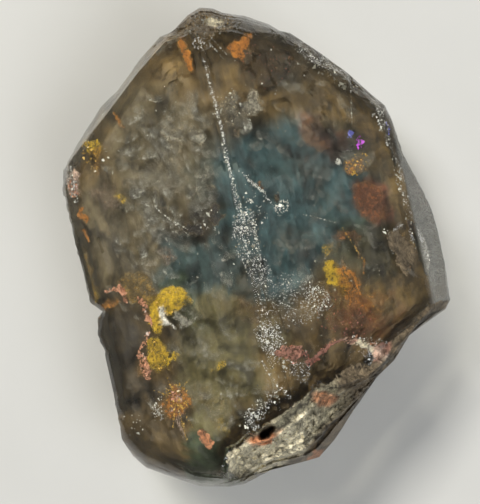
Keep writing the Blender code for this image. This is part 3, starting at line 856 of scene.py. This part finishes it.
STAIN_COATS = (
    (PALE_GREY, (
        (-6.6, 8.6, 2.6, 2, 40, 0.5), (-4.8, 11.6, 1.7, 1.5, -20, 0.55), (-4.6, 6.4, 2.2, 1.4, -10, 0.45),
        (-2.9, 10.7, 0.6, 0.7, 0, 0.9), (0.4, 12.2, 1.2, 1.9, 10, 0.6), (2.4, 12.7, 1, 0.9, 20, 0.8),
        (-3.2, 13.7, 1.5, 0.7, 65, 0.5), (-8.5, -6, 0.6, 0.7, 10, 1), (-13, 3.5, 2.6, 3.4, 0, 0.36),
        (3, -0.6, 2, 1.4, 0, 0.34), (6.4, 1.8, 2.4, 1, 20, 0.34),
    ), ()),
    (OCHRE, (
        (-12.2, -2, 1.7, 1.5, 0, 0.75), (-7.9, -14.2, 1.2, 2.6, 10, 0.45), (6.6, -2.6, 1, 0.9, 0, 0.55),
        (-16.1, 0.6, 0.7, 2.4, 3, 0.7), (7.2, -8, 3.4, 2.2, -20, 0.55),
    ), ()),
    (MAUVE, (
        (-13.3, 7.3, 1.3, 1.3, 0, 0.6), (-8.9, 0.1, 0.9, 1, 30, 0.65), (-2.3, -6.2, 1.1, 1.4, 0, 0.5),
    ), ()),
    (RED_BROWN, (
        (11.2, 1, 1.4, 1.7, 10, 0.85), (7.9, -1.7, 1, 0.5, -20, 0.7), (4.3, 15.8, 2.6, 2.2, -20, 0.4),
        (7.3, 8.3, 0.8, 1.8, 10, 0.6), (8.3, -9.5, 2.4, 1, -15, 0.6),
    ), (
        (((8, -0.6), (8.9, -2.5), (9.6, -5)), 0.25, 0.7),
    )),
    (GOLD, (
        (-13.8, 12.1, 0.5, 1.4, 14, 0.8), (-11.8, 6.8, 0.5, 0.8, 0, 0.7), (-9.2, -4, 1.9, 1.2, 0, 1),
        (-10.9, -4.9, 0.8, 1.7, 0, 0.95), (-11.6, -8.3, 0.9, 1.6, 5, 0.9),
        (-10.4, -9.3, 0.8, 0.4, -10, 0.8), (-6.1, -11.1, 0.5, 0.6, 0, 0.7),
        (-7.3, -16.2, 0.5, 1.1, 10, 0.6), (6.7, -5.3, 0.7, 1.4, 8, 0.95), (6, -2.5, 0.6, 0.6, 0, 0.6),
        (-16, -1.5, 0.5, 1, 0, 0.6),
    ), ()),
    (RUST, (
        (2.1, 18.2, 1.3, 0.9, 10, 1), (1.8, 17.2, 0.5, 0.9, 20, 1), (-2.2, 18.1, 0.6, 1.5, 8, 1),
        (-9.9, 14, 0.4, 0.9, 12, 0.85), (-15.7, 5.9, 0.3, 0.5, 0, 0.9), (-13.6, 10.6, 0.5, 0.8, 0, 0.5),
        (7.6, -6.6, 0.9, 1.9, 0, 0.8), (10.9, 4.9, 1.4, 0.9, -20, 0.65), (-14.7, -3.2, 0.9, 0.6, 0, 0.7),
        (-16.3, -0.6, 0.4, 1.6, 0, 0.6), (-10.9, -12.9, 1.4, 1.5, 0, 0.85), (-13, -9.2, 0.5, 1.2, 0, 0.6),
        (9.3, -8.4, 1.2, 1, 0, 0.6),
    ), (
        (((-16, 4.7), (-15.5, 3.3)), 0.18, 1),
        (((0.7, 5.2), (1.2, 4.6)), 0.15, 0.9),
        (((9.3, -4.1), (9.6, -5)), 0.18, 0.9),
    )),
    (PINK_WHITE, (
        (-16, 9, 0.5, 1.3, 0, 0.7), (-11, -12.8, 0.45, 0.5, 0, 1), (-10.9, -15.8, 0.25, 1.4, 0, 0.6),
    ), ()),
    (WHITE, (
        (-10, -5.7, 0.3, 1.3, 4, 1),
    ), ()),
    (DARK_CRACK_AND_SHADOW, (
        (-5.7, 2.5, 0.9, 0.7, 20, 1), (-3, 3, 0.6, 0.7, 0, 1), (0.3, 9.7, 0.4, 0.6, 0, 0.8),
        (2.2, 3.9, 0.25, 0.3, 0, 0.9), (-16.4, -4.9, 0.35, 1.3, 0, 0.9),
    ), ()),
)


# The film's depth under the front, its distance from the rim at the sides and at the ends, where
# it stops short of the side face, and its mesh
STAIN_DEPTH, STAIN_INSET, STAIN_END_GAP = 0.5, 0.7, 1.0
STAIN_RIGHT_LIMIT = 14.4
STAIN_ROWS, STAIN_COLUMNS = 250, 190


def film_points():
    """A skin under the front: even rows and columns, lowered from the surface by its depth."""
    low, high = RIM[:, 1].min() + STAIN_END_GAP, RIM[:, 1].max() - STAIN_END_GAP
    y = np.linspace(low, high, STAIN_ROWS)
    left = np.interp(y, *rim_side(True)) + STAIN_INSET
    right = np.minimum(np.interp(y, *rim_side(False)) - STAIN_INSET, STAIN_RIGHT_LIMIT)
    right = np.maximum(right, left + 0.2)
    x = left[:, None] + (right - left)[:, None] * np.linspace(0.0, 1.0, STAIN_COLUMNS)
    y = np.repeat(y[:, None], STAIN_COLUMNS, axis=1)
    return np.stack([x, y, front_height(x, y) - STAIN_DEPTH], axis=-1)


stain_points = film_points()
stains = grid_piece("iron_stains", stain_points)
stain_colour, stain_cover = laid_on(
    stain_points[..., 0], stain_points[..., 1], OCHRE, STAIN_COATS, ragged=0.5
)
mark(stains, "cover", stain_cover)
mark_colour(stains, "tone", stain_colour)
finish_shape(stains)


def stained_film():
    """Thin mottled films: opaque in their middle, grainy and open towards their edges."""
    f = Finish("stained_film")
    mottle = f.noise(0.55, detail=7.0, roughness=0.75, distortion=0.6)
    grain = f.noise(0.13, detail=2.0)
    cover = (f.attribute("cover") - 0.35 + (mottle - 0.5) * 1.1 + (grain - 0.5) * 0.7).step(-0.1, 0.7)
    tone = f.tinted(f.attribute("tone", "Color"), mottle.step(0.3, 0.72) * 1.1 + grain * 0.7)
    film = f.surface(
        Base_Color=tone, Roughness=0.4, Alpha=cover * 0.85, Normal=f.bump(mottle + grain * 0.5, 0.15)
    )
    return f.end(film)


stains.data.materials.append(stained_film())
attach(stains, "root")

# Healed cracks: curved veils that closed up again as the crystal grew, each bright along one side
# and fading out towards the other. They hang close under the two prism faces.

# Each veil: x, y, half length, half width, turn, lean along, lean across, depth, strength
VEILS = (
    (-2.9, 10.7, 0.6, 0.7, 20, 10, 10, 1, 1), (-5, 11.9, 1.5, 1.1, -30, 20, -10, 1.8, 0.8),
    (-4.2, 12.6, 1.2, 0.7, 60, -20, 10, 1.5, 0.6), (-6.9, 8.8, 2.3, 1.7, 40, 10, 20, 2.2, 0.6),
    (-4.8, 7.2, 1.8, 1.4, -20, -10, 20, 1.8, 0.55), (-4, 4.9, 2, 0.9, 20, 20, 10, 1.5, 0.5),
    (-3.1, 13.9, 1.4, 0.8, 70, 10, -10, 1.2, 0.5), (-7.4, 12.6, 1.8, 0.8, -60, 0, 20, 1.8, 0.4),
    (0.1, 13, 1.1, 0.8, 60, -10, 20, 1, 0.8), (1, 11.2, 0.9, 1.2, 10, 20, 0, 1, 0.9),
    (2.4, 12.7, 1.1, 0.8, 15, 10, 10, 1, 1), (1.4, 10.8, 0.4, 0.45, 0, 0, 20, 0.7, 1),
    (2.2, 9.7, 0.25, 0.8, 8, 0, 30, 1, 0.7), (-9.9, 4.3, 0.35, 0.95, 12, 0, 20, 0.8, 1),
    (-10.8, 1.5, 0.45, 1, 8, 0, -20, 0.8, 0.8), (-12.6, 2.8, 0.6, 0.4, -40, 10, 0, 0.8, 0.8),
    (-8.6, -6, 0.6, 0.7, 10, 10, 10, 0.6, 1), (-12.8, -13.5, 1.4, 0.5, -55, 0, 30, 1, 0.7),
    (-7.8, -12.6, 0.9, 1.2, 0, 10, 0, 1.8, 0.6), (-7, -15.2, 1.3, 1.9, 20, 0, 10, 1.8, 0.6),
    (6.5, 1.6, 2.6, 0.8, 25, 10, 10, 1.5, 0.3), (3.2, -0.8, 1.9, 1.1, -20, 0, 20, 1.5, 0.4),
    (1.2, -1.6, 1.5, 0.8, 70, 0, 20, 1.2, 0.35),
)
# Zones of lesser veils: x, y, half sizes, turn, number, size, least and most depth, strength
VEIL_ZONES = (
    (-6.5, 9, 5.5, 6.5, 0, 70, 0.9, 0.8, 3, 0.75), (-8, -1, 6, 6, 0, 60, 0.8, 0.8, 2.5, 0.6),
    (6, 9, 6, 7, 0, 50, 0.9, 0.8, 3, 0.4), (6, -4, 6, 6, 0, 40, 0.9, 0.8, 2.5, 0.4),
    (-6, -12, 6, 6, 0, 50, 0.9, 0.8, 3, 0.55),
)


def spread_over(luck, zones):
    """Places spread evenly over turned ellipses, each followed by its zone's further values."""
    places = []
    for x, y, half_length, half_width, turn, number, *further in zones:
        angle = math.radians(turn)
        way, out = luck.uniform(0.0, 2.0 * math.pi, number), np.sqrt(luck.random(number))
        along, across = half_length * out * np.cos(way), half_width * out * np.sin(way)
        places.append(np.column_stack([
            x + along * math.cos(angle) - across * math.sin(angle),
            y + along * math.sin(angle) + across * math.cos(angle),
            np.tile(further, (number, 1)),
        ]))
    return np.concatenate(places)


VEIL_ROWS, VEIL_COLUMNS = 13, 10
VEIL_MARGIN = 0.8
VEIL_COVER = 0.15
VEIL_BOW = 0.25
VEIL_CUP = 0.12


def well_inside(x, y, margin):
    """True where a place lies inside the rim by a margin."""
    to_rim, _ = nearest_on_line(x, y, RIM)
    return inside_line(x, y, RIM) & (to_rim > margin)


def veil_points():
    """Bowed rectangles, v = 0 along the bright side, each leaning its own way under the front.

    They bow sideways by u squared and cup upwards by u squared plus v squared.
    """
    luck = np.random.default_rng(3)
    spots = spread_over(luck, VEIL_ZONES)
    size = spots[:, 2] * luck.lognormal(0.0, 0.35, len(spots))
    lesser = np.column_stack([
        spots[:, :2], size, size * luck.uniform(0.3, 0.9, len(spots)),
        luck.normal(-35.0, 40.0, len(spots)), luck.uniform(-35.0, 35.0, (len(spots), 2)),
        luck.uniform(spots[:, 3], spots[:, 4]), spots[:, 5] * luck.uniform(0.4, 1.2, len(spots)),
    ])
    lesser = lesser[well_inside(lesser[:, 0], lesser[:, 1], VEIL_MARGIN + lesser[:, 2])]
    x, y, half_length, half_width, turn, lean_along, lean_across, depth, strength = (
        column[:, None, None] for column in np.vstack([VEILS, lesser]).T
    )
    turn, lean_along, lean_across = map(np.radians, (turn, lean_along, lean_across))
    u = np.linspace(-1.0, 1.0, VEIL_ROWS)[:, None]
    v = np.linspace(0.0, 1.0, VEIL_COLUMNS)
    along = u * half_length * np.cos(lean_along)
    across = (2.0 * v - 1.0) * half_width * np.cos(lean_across)
    across = across + VEIL_BOW * half_width * (u * u - 0.5)
    rise = u * half_length * np.sin(lean_along) + (2.0 * v - 1.0) * half_width * np.sin(lean_across)
    rise = rise + VEIL_CUP * half_length * (u * u + v * v)
    place_x = x + along * np.cos(turn) - across * np.sin(turn)
    place_y = y + along * np.sin(turn) + across * np.cos(turn)
    place_x = place_x + 0.12 * swell(place_x, place_y, 0.5, 301)
    rise = rise + 0.10 * swell(place_x, place_y, 0.6, 302)
    top = front_height(place_x, place_y)
    z = np.minimum(front_height(x, y) - depth + rise, top - VEIL_COVER)
    fade = (1.0 - u**4) * np.clip(v * 12.0, 0.0, 1.0) * (1.0 - v) ** 1.3 * strength
    return np.stack([place_x, place_y, z], axis=-1), fade


veil_grids, veil_fade = veil_points()
veils = grid_piece("healed_cracks", veil_grids, turned=True)
mark(veils, "fade", veil_fade)
finish_shape(veils, sharp=60.0)


VEIL_SHADE = (0.24, 0.23, 0.18)
VEIL_LIGHT = (0.62, 0.61, 0.54)


def healed_crack():
    """Pale, silky film, thick along one side and fading towards the other."""
    f = Finish("healed_crack")
    mottle = f.noise(0.5, detail=5.0, roughness=0.7)
    grain = f.noise(0.12, detail=2.0)
    cover = f.attribute("fade") * (mottle.step(0.25, 0.75) * 1.1 + (grain - 0.4) * 0.6)
    tone = f.blend(VEIL_SHADE, VEIL_LIGHT, mottle.step(0.35, 0.7))
    return f.end(f.surface(
        Base_Color=tone, Roughness=0.3, Alpha=cover * 0.9, Normal=f.bump(mottle + grain, 0.15)
    ))


veils.data.materials.append(healed_crack())
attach(veils, "root")

# Flecks and crumbs: crushed crystal, tiny flat cracks and bits of iron-stained crust, scattered
# along the ridge, the chipped edges, the etched patches and the larger cracks. Three small clusters,
# two white and one gold, are painted glints.

FLECK_WHITE = (0.75, 0.75, 0.68)
FLECK_DIM = (0.26, 0.25, 0.20)
FLECK_BLUE = (0.30, 0.32, 0.95)
FLECK_VIOLET = (0.62, 0.12, 0.80)
FLECK_GOLD = (0.62, 0.40, 0.10)
FLECK_MARGIN = 0.4
FLECK_COVER = 0.02

# For every tone: x, y, half sizes, turn, number, size, least and most depth
FLECKS = (
    (FLECK_WHITE, (
        (-1, 12.5, 0.12, 3.6, 2, 110, 0.07, 0.03, 0.2), (-1, 5.5, 0.16, 4.2, 3, 180, 0.09, 0.03, 0.25),
        (-0.2, -1, 0.18, 3, -4, 110, 0.08, 0.03, 0.3), (-0.9, 0.2, 0.8, 3, -8, 110, 0.11, 0.05, 0.6),
        (1.9, -6.4, 3.6, 2.2, -18, 230, 0.08, 0.03, 0.3), (4.2, -6.9, 1.2, 1.3, 0, 140, 0.1, 0.03, 0.3),
        (-0.6, -10, 0.9, 2.8, 14, 90, 0.12, 0.03, 0.5), (0.5, 3.6, 1, 3, 0, 45, 0.12, 0.2, 1.2),
        (2.9, 2.3, 0.6, 0.9, -40, 50, 0.17, 0.05, 0.4), (1, 4.9, 1.3, 0.12, -52, 70, 0.1, 0.03, 0.2),
        (-4.3, 3.2, 1.3, 1.3, 0, 12, 0.26, 0.3, 1.2), (-3.5, 1.6, 0.3, 0.4, 0, 6, 0.24, 0.3, 0.8),
        (-6, 10.5, 3.4, 4.5, 0, 28, 0.11, 0.3, 2), (-6, -0.5, 4, 3.5, 0, 30, 0.1, 0.2, 2),
        (-12, 10, 1.6, 2.2, 0, 10, 0.2, 0.2, 0.8), (-15.9, 9, 0.5, 1.8, 0, 40, 0.14, 0.1, 0.5),
        (-15.4, -14.3, 0.9, 1.6, 0, 18, 0.14, 0.2, 0.7),
        (-12.9, -13.6, 0.4, 1.3, -30, 24, 0.14, 0.2, 0.6),
        (10.6, 14.6, 4.4, 0.6, -46, 210, 0.14, 0.03, 0.4), (5, 15.5, 4.6, 2.6, -25, 30, 0.08, 0.05, 0.8),
        (14.2, 8.8, 0.5, 2.2, 0, 80, 0.13, 0.05, 0.4), (14.5, 1, 0.3, 6, 0, 90, 0.11, 0.05, 0.3),
        # The second cluster on the next line is a painted white glint.
        (12.6, -2.9, 0.3, 1.2, 30, 50, 0.12, 0.03, 0.2), (9.1, 5.3, 0.25, 0.25, 0, 8, 0.25, 0.2, 0.5),
        (-4.4, -16.6, 0.8, 1.4, -20, 60, 0.12, 0.03, 0.3),
        # The second cluster on the next line is a painted highlight on the knob at the tip.
        (-2.6, -15.3, 2.2, 0.8, 25, 60, 0.1, 0.03, 0.4), (0.4, 21.2, 0.9, 0.4, 0, 70, 0.18, 0.03, 0.3),
        (-0.4, 21, 2.4, 1, -8, 90, 0.15, 0.03, 0.3), (-12, 14.8, 4.5, 0.5, 42, 50, 0.12, 0.03, 0.3),
        (1.9, 20.4, 0.4, 0.7, 0, 24, 0.16, 0.03, 0.3), (0.5, 12.3, 1.8, 2.2, 0, 40, 0.12, 0.2, 1),
        (8, -12, 1.8, 0.5, -30, 50, 0.1, 0.03, 0.3), (-6.5, -22.3, 1.6, 0.4, 0, 30, 0.14, 0.03, 0.3),
        (11.6, 10.2, 2.5, 0.03, 78.5, 90, 0.05, 0.03, 0.1),
        (-7.4, 3.4, 2.2, 0.05, -52, 60, 0.06, 0.2, 0.6), (-7, 3.2, 1.6, 0.05, -44, 40, 0.06, 0.2, 0.6),
        (0.1, 18.4, 1.4, 0.03, -61, 50, 0.06, 0.03, 0.1),
        (0.6, 18.5, 1.2, 0.03, -61, 40, 0.06, 0.03, 0.1), (5.8, 0.7, 2.4, 0.05, -27, 40, 0.05, 0.05, 0.2),
    )),
    (FLECK_BLUE, (
        (10.8, 7.6, 0.25, 0.3, 0, 12, 0.2, 0.1, 0.3), (14.6, 7.4, 0.2, 0.8, 0, 14, 0.16, 0.1, 0.3),
    )),
    (FLECK_VIOLET, (
        (11.5, 6.7, 0.35, 0.6, -20, 26, 0.2, 0.1, 0.3),
    )),
    (FLECK_DIM, (
        (4, 2, 6.5, 8, 0, 160, 0.06, 0.1, 2), (-7, 0, 7.5, 16, 0, 120, 0.08, 0.1, 2),
        (6.5, -7, 6, 4.5, -20, 200, 0.07, 0.05, 0.7), (7, 12, 5.5, 6, -20, 120, 0.06, 0.05, 1.2),
        (-0.9, 0.2, 1.1, 4, -8, 130, 0.11, 0.05, 0.8), (10.6, 14, 4.6, 1, -46, 160, 0.14, 0.03, 0.6),
        (0, 21, 3, 1.4, -8, 160, 0.14, 0.03, 0.4), (-4, -14, 5, 3, 15, 160, 0.1, 0.05, 0.8),
    )),
    (SALMON, (
        (-14.6, -1.6, 0.8, 0.16, 0, 50, 0.16, 0.05, 0.3), (-13.6, -2, 0.2, 1.2, 10, 50, 0.16, 0.05, 0.3),
        (-12, -3.4, 0.7, 0.25, -60, 60, 0.16, 0.05, 0.3), (-11.8, -4.9, 0.2, 1, 12, 60, 0.17, 0.05, 0.3),
        (-12.6, -7, 0.2, 1, -40, 50, 0.16, 0.05, 0.3), (-13.2, -9.3, 0.45, 1.5, 4, 170, 0.17, 0.05, 0.4),
        (-9.1, -17.4, 0.4, 0.9, 10, 60, 0.16, 0.05, 0.3), (-11, -12.8, 0.5, 0.5, 0, 40, 0.18, 0.05, 0.3),
        (-16, 8.6, 0.4, 0.9, 0, 60, 0.15, 0.05, 0.3), (8.7, -12.8, 1.2, 0.4, -40, 120, 0.12, 0.03, 0.2),
        (5.6, -11.2, 1.6, 0.25, 0, 90, 0.11, 0.03, 0.2), (13.2, -4.5, 0.6, 1.8, 4, 60, 0.14, 0.03, 0.2),
    )),
    (ROSE, (
        (0.8, -11.4, 1.5, 0.9, -25, 180, 0.11, 0.03, 0.3), (3.2, -12, 1.6, 0.3, 32, 150, 0.11, 0.03, 0.3),
        (6.5, -9.2, 3, 1.8, -20, 160, 0.08, 0.05, 0.5), (4.4, 15.8, 2.6, 2.2, -20, 90, 0.08, 0.1, 0.6),
    )),
    (FLECK_GOLD, (
        (-10.9, -12.9, 1.2, 1.3, 0, 120, 0.14, 0.05, 0.5),
        (-10.9, -15.4, 1.9, 0.05, -88, 80, 0.08, 0.05, 0.4),
        (-11.5, -14.6, 1.4, 0.05, 72, 50, 0.08, 0.05, 0.4),
        (-10.4, -14.7, 1.5, 0.05, -74, 50, 0.08, 0.05, 0.4),
        (-12, -12.3, 0.9, 0.04, 150, 30, 0.08, 0.05, 0.4),
        (-9.9, -12, 0.9, 0.04, 40, 30, 0.08, 0.05, 0.4),
        (-11.2, -11.6, 0.9, 0.04, 100, 30, 0.08, 0.05, 0.4),
        (8.8, -2.8, 2.3, 0.06, -70, 60, 0.08, 0.05, 0.3), (-11.8, -8.6, 0.8, 1.6, 0, 60, 0.12, 0.05, 0.4),
        (-9.2, -4, 1.7, 1.1, 0, 60, 0.12, 0.05, 0.4), (10.9, 4.8, 1.4, 1, 0, 40, 0.12, 0.1, 0.5),
        # The second cluster on the next line is a painted yellow glint.
        (-13.8, 11.6, 0.6, 2, 12, 60, 0.12, 0.05, 0.4), (10.3, 4, 0.2, 0.2, 0, 8, 0.22, 0.1, 0.3),
        (0, 21.2, 2.6, 1, -8, 60, 0.13, 0.03, 0.4), (13.2, -4.5, 0.8, 2, 4, 50, 0.12, 0.03, 0.2),
    )),
)


def fleck_points():
    """Four-cornered flakes of uneven size, each turned at random, and the tone of each.

    Two random directions, made square to each other, span the flake, mostly along the face.
    """
    luck = np.random.default_rng(7)
    places = np.concatenate([
        np.hstack([spots, np.tile(tone, (len(spots), 1))])
        for tone, zones in FLECKS for spots in (spread_over(luck, zones),)
    ])
    places[:, 2] *= luck.lognormal(-0.25, 0.5, len(places))
    places = places[well_inside(places[:, 0], places[:, 1], FLECK_MARGIN + places[:, 2])]
    x, y, size, least, most = places[:, :5].T
    depth = luck.uniform(least, most)
    centre = np.stack([x, y, front_height(x, y) - depth - 0.3 * size], axis=-1)
    first, second = luck.normal(0.0, 1.0, (2, len(x), 3)) * (1.0, 1.0, 0.5)
    first /= np.linalg.norm(first, axis=1)[:, None]
    second -= first * (second * first).sum(axis=1)[:, None]
    second /= np.linalg.norm(second, axis=1)[:, None]
    way = np.arange(4) * math.pi / 2 + luck.uniform(-0.6, 0.6, (len(x), 4))
    reach = size[:, None] * luck.uniform(0.3, 1.1, (len(x), 4))
    corners = (reach * np.cos(way))[..., None] * first[:, None]
    corners = corners + (reach * np.sin(way))[..., None] * second[:, None]
    light = luck.uniform(0.35, 1.2, len(x))[:, None]
    corners = centre[:, None] + corners
    top = front_height(corners[..., 0], corners[..., 1])
    corners[..., 2] = np.minimum(corners[..., 2], top - FLECK_COVER)
    return corners[:, [0, 1, 3, 2]].reshape(-1, 2, 2, 3), places[:, 5:8] * light


fleck_grids, fleck_tones = fleck_points()
flecks = grid_piece("flecks_and_crumbs", fleck_grids, turned=True)
mark_colour(flecks, "tone", np.repeat(fleck_tones, 4, axis=0))


def fleck_finish():
    """Bright, slightly glossy flakes, each in its own tone."""
    f = Finish("fleck")
    grain = f.noise(0.1, detail=2.0)
    tone = f.tinted(f.attribute("tone", "Color"), grain * 1.2 + 0.4)
    return f.end(f.surface(Base_Color=tone, Roughness=0.25))


flecks.data.materials.append(fleck_finish())
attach(flecks, "root")

# The floor, the soft studio lights and the camera. The camera looks straight down on the
# crystal's front, turned so that the crystal's length leans a little to the left.

FLOOR_DROP = 0.05
FLOOR_REACH = 400.0
PAPER_SHADE = (0.62, 0.62, 0.60)
PAPER_LIGHT = (0.66, 0.66, 0.645)
floor_span = np.linspace(-FLOOR_REACH, FLOOR_REACH, 41)
floor_x, floor_y = np.meshgrid(floor_span, floor_span)
floor_points = np.stack([floor_x, floor_y, np.full_like(floor_x, -FLOOR_DROP)], axis=-1)
floor = grid_piece("floor", floor_points)
paper = Finish("pale_paper")
paper_tone = paper.blend(PAPER_SHADE, PAPER_LIGHT, paper.noise(12.0))
floor.data.materials.append(paper.end(paper.surface(Base_Color=paper_tone, Roughness=0.85)))

LEAN = math.radians(13.2)
FRAME_WIDTH = 480  # pixels
PIXEL = 0.096  # millimetres of the crystal
VIEW_CENTRE = (-1.88, -0.86)
VIEW_DISTANCE = 500.0
SUBJECT_HEIGHT = 12.0
camera_data = bpy.data.cameras.new("camera")
camera_data.sensor_fit = "HORIZONTAL"
picture_width = FRAME_WIDTH * PIXEL
camera_data.lens = camera_data.sensor_width * (VIEW_DISTANCE - SUBJECT_HEIGHT) / picture_width
camera_data.clip_start = 0.01
camera = placed("camera", camera_data)
camera.location = (VIEW_CENTRE[0] * MM, VIEW_CENTRE[1] * MM, VIEW_DISTANCE * MM)
camera.rotation_euler = (0.0, 0.0, -LEAN)
bpy.context.scene.camera = camera


def soft_light(name, way, height, distance, size, power, colour):
    """A square lamp aimed at the crystal.

    Way is its direction round the picture and height its angle above the floor, in degrees.
    Distance and size are in millimetres and power is in watts.
    """
    lamp = bpy.data.lights.new(name, "AREA")
    lamp.size = size * MM
    lamp.energy = power
    lamp.color = colour
    turn = math.radians(way) - LEAN
    tilt = math.radians(height)
    place = np.array((
        math.cos(turn) * math.cos(tilt), math.sin(turn) * math.cos(tilt), math.sin(tilt)
    )) * distance * MM
    holder = placed(name, lamp)
    holder.location = place
    holder.rotation_euler = (math.pi / 2 - tilt, 0.0, turn + math.pi / 2)


soft_light(
    "key_light", way=128.0, height=60.0, distance=420.0, size=100.0, power=1.35,
    colour=(1.0, 0.97, 0.90),
)
soft_light(
    "fill_light", way=-35.0, height=62.0, distance=500.0, size=260.0, power=1.1,
    colour=(0.95, 0.97, 1.0),
)

world = bpy.data.worlds.new("studio")
world.use_nodes = True
sky = world.node_tree.nodes["Background"].inputs
sky["Color"].default_value = (0.92, 0.93, 0.88, 1.0)
sky["Strength"].default_value = 0.14
bpy.context.scene.world = world

bpy.context.scene.view_settings.view_transform = "Standard"

# Enough bounces for light to pass the faces, the veils and the flecks behind one another
cycles = bpy.context.scene.cycles
cycles.use_denoising = True
cycles.max_bounces = 20
cycles.transmission_bounces = 16
cycles.transparent_max_bounces = 32
